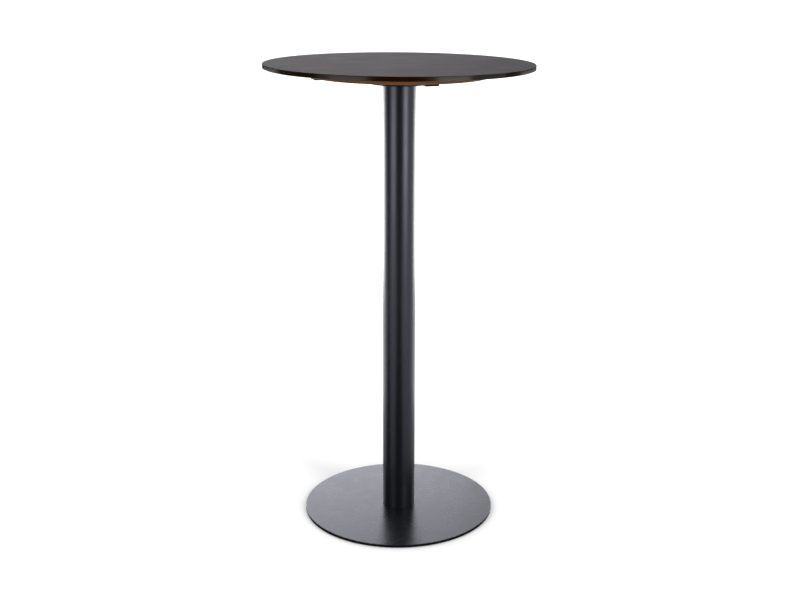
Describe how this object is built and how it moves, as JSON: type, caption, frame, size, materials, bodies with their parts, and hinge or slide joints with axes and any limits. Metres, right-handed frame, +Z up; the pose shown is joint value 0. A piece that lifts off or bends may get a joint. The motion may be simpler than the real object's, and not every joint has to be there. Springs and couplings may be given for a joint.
{
  "type": "pub table",
  "caption": "Tall round table: thin laminate top on a plywood disc and a cross of flat bars, tube column, flat round base on levelling glides.",
  "frame": {"origin": "on the floor, at the centre of the base, on the column's axis", "axes": "+Z up along the column, -Y towards the front of the table, +X to its right"},
  "size_m": [0.6, 0.5999, 1.062],
  "materials": {
    "black_laminate": "satin black compact laminate",
    "plywood": "raw plywood edge and face",
    "brass": "plain",
    "zinc_screws": "zinc plated",
    "black_screws": "black oxide",
    "black_steel": "matt black paint",
    "powder_coat_column": "satin black powder coat",
    "powder_coat_base": "satin black powder coat",
    "bare_steel": "plain",
    "black_nylon": "moulded"
  },
  "bodies": {
    "table": {"table_top": "black_laminate", "backing_disc": "plywood", "top_inserts": "brass", "top_screws": "zinc_screws", "arm_screws": "black_screws", "spider_hub": "black_steel", "hub_bolts": "zinc_screws", "hub_washers": "zinc_screws", "column_tube": "powder_coat_column", "column_head_plate": "bare_steel", "column_foot_plate": "bare_steel", "base_plate": "powder_coat_base", "base_screws": "zinc_screws", "spider_arm_right": "black_steel", "spider_arm_back": "black_steel", "spider_arm_left": "black_steel", "spider_arm_front": "black_steel"},
    "glide_1": {"glide_pad_1": "black_nylon", "glide_stem_1": "zinc_screws"},
    "glide_2": {"glide_pad_2": "black_nylon", "glide_stem_2": "zinc_screws"},
    "glide_3": {"glide_pad_3": "black_nylon", "glide_stem_3": "zinc_screws"},
    "glide_4": {"glide_pad_4": "black_nylon", "glide_stem_4": "zinc_screws"}
  },
  "joints": [
    {"name": "glide_1_height", "type": "slide", "parent": "table", "child": "glide_1", "axis": [0, 0, -1], "range_m": [0, 0.002]},
    {"name": "glide_2_height", "type": "slide", "parent": "table", "child": "glide_2", "axis": [0, 0, -1], "range_m": [0, 0.002]},
    {"name": "glide_3_height", "type": "slide", "parent": "table", "child": "glide_3", "axis": [0, 0, -1], "range_m": [0, 0.002]},
    {"name": "glide_4_height", "type": "slide", "parent": "table", "child": "glide_4", "axis": [0, 0, -1], "range_m": [0, 0.002]}
  ]
}
